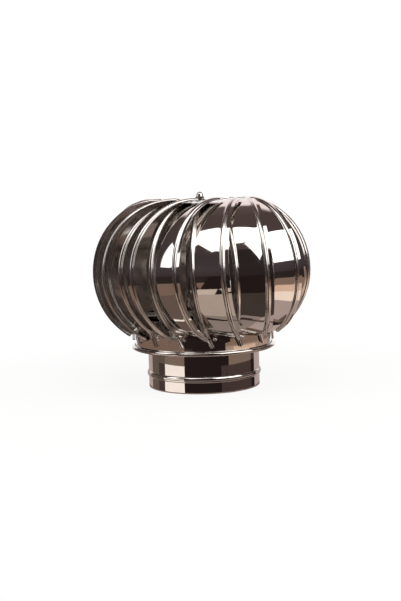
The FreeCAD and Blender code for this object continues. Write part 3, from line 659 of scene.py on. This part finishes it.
def card(name, near, far, start, end, colour):
    """A curved card from one radius and height to another, between bearings from the front towards the right."""
    bm = bmesh.new()
    verts = [bm.verts.new((0, -radius, level)) for radius, level in (near, far)]
    edge = bm.edges.new(verts)
    bmesh.ops.rotate(bm, verts=bm.verts, cent=(0, 0, 0), matrix=Matrix.Rotation(radians(start), 3, "Z"))
    bmesh.ops.spin(bm, geom=bm.verts[:] + [edge], cent=(0, 0, 0), axis=UP, angle=radians(end - start), steps=48)
    screen(name, bm, colour)


def kerb(name, radius, foot, top, left, right, colour):
    """A low upright card that shows on the collar between two shares of its half width, counted from its middle."""
    start, end = [degrees(2 * asin(share) - asin(share * SPIGOT / radius)) for share in (left, right)]
    card(name, (radius, foot), (radius, top), start, end, colour)


def soft_box(name, width, height, place, level):
    """A flat soft box that faces the rotor, its brightness given as the level that it shows in a mirror."""
    lamp = bpy.data.lights.new(name, "AREA")
    lamp.shape = "RECTANGLE"
    lamp.size = width
    lamp.size_y = height
    lamp.energy = level * pi * width * height
    lamp.color = (1.0, 0.985, 0.965)
    made = bpy.data.objects.new(name, lamp)
    made.location = place
    made.rotation_euler = (place - ROTOR_MIDDLE).to_track_quat("Z", "Y").to_euler()
    made.visible_camera = False
    bpy.context.scene.collection.objects.link(made)


def towards(azimuth, elevation, distance):
    """A point at a bearing from the front towards the right, seen from the rotor's middle."""
    bearing = radians(azimuth)
    rise = radians(elevation)
    return Vector((sin(bearing) * cos(rise), -cos(bearing) * cos(rise), sin(rise))) * distance + ROTOR_MIDDLE


# The floor: matt and pale, and as white as the sweep where it is looked at away from the collar
FLOOR = 6.0
FLOOR_DROP = 0.0005
bm = bmesh.new()
bmesh.ops.create_circle(bm, cap_ends=True, segments=64, radius=FLOOR)
floor_mesh = bpy.data.meshes.new("floor")
bm.to_mesh(floor_mesh)
bm.free()
pale = bpy.data.materials.new("pale_floor")
pale.use_nodes = True
nodes = pale.node_tree.nodes
link = pale.node_tree.links.new
matt = nodes["Principled BSDF"]
fill(matt, {"Base Color": (0.9, 0.88, 0.86, 1), "Roughness": 0.8, "Specular IOR Level": 0.0})
glow = nodes.new("ShaderNodeEmission")
distance = nodes.new("ShaderNodeVectorMath")
distance.operation = "LENGTH"
link(nodes.new("ShaderNodeTexCoord").outputs["Object"], distance.inputs[0])
fade = nodes.new("ShaderNodeMapRange")
fade.interpolation_type = "SMOOTHSTEP"
fill(fade, {"From Min": 0.12, "From Max": 0.55, "To Min": 0.86, "To Max": 1.0})
link(distance.outputs["Value"], fade.inputs["Value"])
whiteness = nodes.new("ShaderNodeMath")
whiteness.operation = "MULTIPLY"
link(looked_at(nodes, link), whiteness.inputs[0])
link(fade.outputs["Result"], whiteness.inputs[1])
mixed = nodes.new("ShaderNodeMixShader")
link(whiteness.outputs[0], mixed.inputs["Fac"])
link(matt.outputs["BSDF"], mixed.inputs[1])
link(glow.outputs["Emission"], mixed.inputs[2])
link(mixed.outputs["Shader"], nodes["Material Output"].inputs["Surface"])
floor_mesh.materials.append(pale)
floor = bpy.data.objects.new("floor", floor_mesh)
floor.location.z = -FLOOR_DROP
bpy.context.scene.collection.objects.link(floor)

# The room: a dim dome, lighter high up and bright behind, open at the back where the sweep shows
ROOM = 3.0
OPENING_HALF = radians(36)
OPENING_TOP = ROOM * sin(radians(27))
DOME_DIM = (0.085, 0.060, 0.056)
BACK_WHITE = (1.05, 0.92, 0.90)
bm = bmesh.new()
bmesh.ops.create_uvsphere(bm, u_segments=72, v_segments=36, radius=ROOM)
gone = []
for face in bm.faces:
    middle = face.calc_center_median()
    in_opening = abs(atan2(middle.x, middle.y)) < OPENING_HALF and middle.z < OPENING_TOP
    if middle.z < 0 or in_opening:
        gone.append(face)
bmesh.ops.delete(bm, geom=gone, context="FACES")
room = screen("dim_room", bm, (0, 0, 0))
nodes = room.node_tree.nodes
link = room.node_tree.links.new
spot = nodes.new("ShaderNodeTexCoord").outputs["Object"]
spot_parts = nodes.new("ShaderNodeSeparateXYZ")
link(spot, spot_parts.inputs[0])
height = nodes.new("ShaderNodeMath")
height.operation = "DIVIDE"
fill(height, {1: ROOM})
link(spot_parts.outputs["Z"], height.inputs[0])
front = ramp(nodes, (0.0, (0.050, 0.036, 0.037)), (1.0, DOME_DIM), (0.16, (0.066, 0.052, 0.056)),
             (0.45, (0.055, 0.043, 0.044)), (0.85, DOME_DIM))
back = ramp(nodes, (0.0, BACK_WHITE), (1.0, DOME_DIM), (0.76, BACK_WHITE), (0.82, (0.13, 0.096, 0.09)))
link(height.outputs[0], front.inputs["Fac"])
link(height.outputs[0], back.inputs["Fac"])
level_spot = nodes.new("ShaderNodeVectorMath")
level_spot.operation = "MULTIPLY"
fill(level_spot, {1: (1, 1, 0)})
link(spot, level_spot.inputs[0])
heading = nodes.new("ShaderNodeVectorMath")
heading.operation = "NORMALIZE"
link(level_spot.outputs["Vector"], heading.inputs[0])
heading_parts = nodes.new("ShaderNodeSeparateXYZ")
link(heading.outputs["Vector"], heading_parts.inputs[0])
behind = nodes.new("ShaderNodeMapRange")
behind.interpolation_type = "SMOOTHSTEP"
fill(behind, {"From Min": 0.72, "From Max": 0.88})
link(heading_parts.outputs["Y"], behind.inputs["Value"])
blend = nodes.new("ShaderNodeMix")
blend.data_type = "RGBA"
link(behind.outputs["Result"], blend.inputs["Factor"])
link(front.outputs["Color"], blend.inputs["A"])
link(back.outputs["Color"], blend.inputs["B"])
link(blend.outputs["Result"], nodes["Emission"].inputs["Color"])

# The ground: patches laid over one another round the collar, and a dark drape at the right of the front
COLLAR_CLEAR = 0.078
DARK = (0.020, 0.013, 0.012)
card("dark_drape", near=(2.0, 0.0), far=(2.0, 1.6), start=6, end=50, colour=(0.028, 0.021, 0.020))
# The paper patches next to the collar are dimmed with painted shade: the rotor's shadow on the floor.
for name, near, far, level, start, end, colour in (
        ("under_paper_in_shade", 0.0, 0.10, 0.0001, -180, 180, (0.30, 0.235, 0.21)),
        ("right_shade", COLLAR_CLEAR, 0.25, 0.0003, 33, 122, (0.15, 0.10, 0.075)),
        ("right_table", 0.25, 0.50, 0.0003, 33, 126, (0.45, 0.33, 0.26)),
        ("right_paper_in_shade", 0.10, 0.26, 0.0004, 46, 88, (0.47, 0.365, 0.33)),
        ("right_light", 0.26, 0.36, 0.0004, 46, 88, (1.05, 0.85, 0.71)),
        ("right_wood", 0.36, 0.49, 0.0004, 46, 88, (0.80, 0.56, 0.41)),
        ("right_floor", 0.50, 0.85, 0.0003, 33, 126, (0.26, 0.175, 0.13)),
        ("right_back", COLLAR_CLEAR, ROOM, 0.0002, 120, 140, (0.34, 0.26, 0.23)),
        ("front_dark", 0.34, ROOM, 0.0005, -29, 33, DARK),
        ("front_paper_in_shade", COLLAR_CLEAR, 0.155, 0.0005, -33, 46, (0.30, 0.24, 0.21)),
        ("front_brown", 0.155, 0.34, 0.0005, -33, 5, (0.48, 0.385, 0.325)),
        ("front_shade", 0.155, 0.34, 0.0005, 5, 46, (0.06, 0.045, 0.038)),
        ("front_table", 0.34, 0.45, 0.0006, -42, -15, (0.64, 0.52, 0.43)),
        ("left_shade", COLLAR_CLEAR, 0.36, 0.0003, -132, -29, (0.15, 0.105, 0.085)),
        ("left_floor", 0.36, 0.80, 0.0003, -132, -29, (0.22, 0.145, 0.11)),
        ("left_back", COLLAR_CLEAR, ROOM, 0.0002, -140, -126, (0.34, 0.26, 0.23)),
        ("far_floor", 0.75, ROOM, 0.0001, -140, 140, (0.03, 0.022, 0.02))):
    card(name, (near, level), (far, level), start, end, colour)

# The kerbs: low cards round the collar, near ones below its bead and further ones above it
PALE = (0.50, 0.40, 0.37)
PAPER = (1.15, 1.05, 0.97)
WOOD = (0.23, 0.165, 0.13)
BROWN = (0.14, 0.105, 0.085)
SHADE = (0.07, 0.047, 0.042)
NEAR_KERB = 0.080
FAR_KERB = 0.132
KERB_STEP = 0.026
KERB_TOP = 0.042
for name, left, right, low_colour, high_colour in (
        ("left_edge", -1.0, -0.92, PALE, PALE),
        ("left_streak", -0.92, -0.80, BROWN, BROWN),
        ("left_shade", -0.80, -0.69, SHADE, BROWN),
        ("left_paper", -0.69, -0.345, PAPER, WOOD),
        ("middle", -0.345, 0.30, DARK, DARK),
        ("right_near", 0.30, 0.43, SHADE, DARK),
        ("right_wood", 0.43, 0.83, SHADE, WOOD),
        ("right_shade", 0.83, 0.89, DARK, SHADE),
        ("right_edge", 0.89, 1.0, PALE, PALE)):
    kerb(name + "_foot_kerb", NEAR_KERB, 0.0, BEAD_FOOT, left, right, low_colour)
    kerb(name + "_low_kerb", FAR_KERB, 0.0, KERB_STEP, left, right, low_colour)
    kerb(name + "_high_kerb", FAR_KERB, KERB_STEP, KERB_TOP, left, right, high_colour)

# The lights: a panel overhead and two soft boxes
ROTOR_MIDDLE = UP * 0.15
PANEL_LEVEL = 1.6
PANEL = ((-1.15, -1.95), (1.0, -1.06), (1.0, -0.50), (-1.15, -0.28))
bm = bmesh.new()
bm.faces.new([bm.verts.new((x, y, PANEL_LEVEL)) for x, y in PANEL])
screen("overhead_panel", bm, (2.0, 1.97, 1.93), lights=True)
right_place = towards(azimuth=55, elevation=31, distance=1.7)
left_place = towards(azimuth=-71, elevation=32, distance=1.7)
soft_box("right_box", width=1.79, height=1.3, place=right_place, level=2.0)
soft_box("left_box", width=0.69, height=1.5, place=left_place, level=1.6)

# The sweep: white where it is looked at, and a softer grey as light
world = bpy.data.worlds.new("white_sweep")
world.use_nodes = True
nodes = world.node_tree.nodes
link = world.node_tree.links.new
fill(nodes["Background"], {"Color": (0.62, 0.61, 0.60, 1)})
white = nodes.new("ShaderNodeBackground")
fill(white, {"Color": (1, 1, 1, 1)})
mixed = nodes.new("ShaderNodeMixShader")
link(looked_at(nodes, link), mixed.inputs["Fac"])
link(nodes["Background"].outputs["Background"], mixed.inputs[1])
link(white.outputs["Background"], mixed.inputs[2])
link(mixed.outputs["Shader"], nodes["World Output"].inputs["Surface"])
bpy.context.scene.world = world
bpy.context.scene.view_settings.view_transform = "Standard"

# Camera: a little above the rotor's middle and dipped towards it, turned a touch as the photograph is.
# Its focal length is the one solved from the photograph's outlines, in pixels of its height.
PHOTO_HEIGHT = 601
FOCAL_PIXELS = 983.9
EYE = (0, -1.322, 0.25235)
PAN = 0.111
DIP = 5.984
TILT = -1.5
view = bpy.data.cameras.new("view")
view.sensor_fit = "VERTICAL"
view.sensor_height = 36.0
view.lens = FOCAL_PIXELS / PHOTO_HEIGHT * view.sensor_height
camera = bpy.data.objects.new("view", view)
camera.matrix_world = (Matrix.Translation(EYE) @ Matrix.Rotation(radians(PAN), 4, "Z")
                       @ Matrix.Rotation(radians(90 - DIP), 4, "X") @ Matrix.Rotation(radians(TILT), 4, "Z"))
bpy.context.scene.collection.objects.link(camera)
bpy.context.scene.camera = camera
